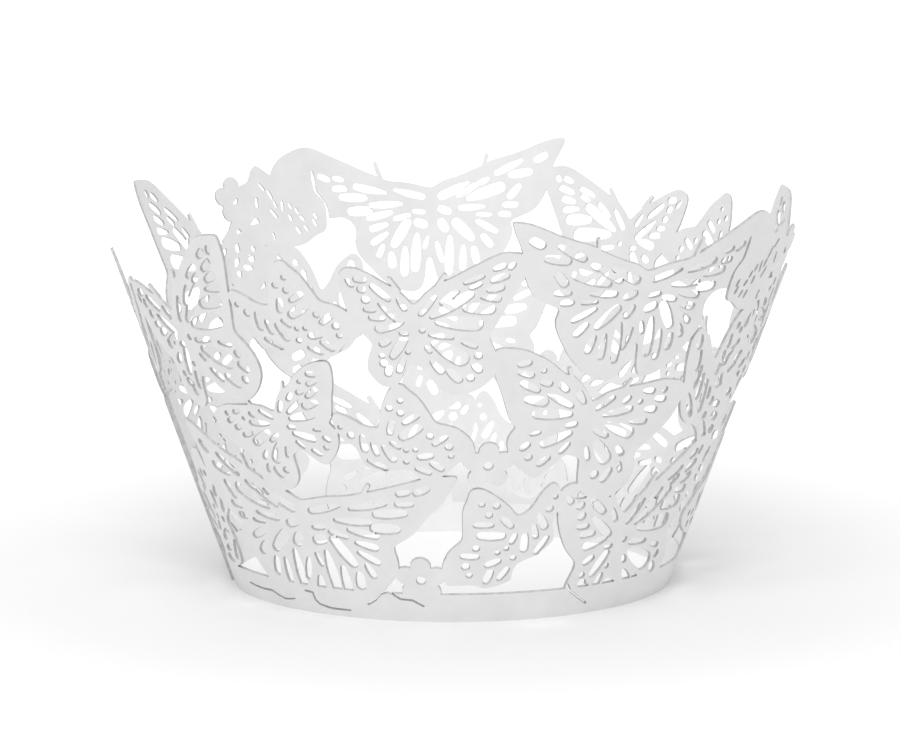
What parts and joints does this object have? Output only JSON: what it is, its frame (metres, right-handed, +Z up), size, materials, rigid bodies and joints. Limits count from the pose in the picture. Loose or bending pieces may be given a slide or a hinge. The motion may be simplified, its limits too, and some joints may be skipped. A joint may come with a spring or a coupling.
{
  "type": "cupcake wrapper",
  "caption": "Open cone of thin laser-cut card with a butterfly lace wall on a plain foot band, slipped round a cupcake.",
  "frame": {"origin": "centre of the foot ring, on the surface it stands on", "axes": "+Z up along the axis of the cone, -Y towards the front of the wrapper, +X to the right seen from the front"},
  "size_m": [0.0775, 0.0814, 0.0458],
  "materials": {
    "pearl_card": "white card with a soft pearl sheen"
  },
  "bodies": {
    "root": {"wrapper": "pearl_card"}
  },
  "joints": []
}
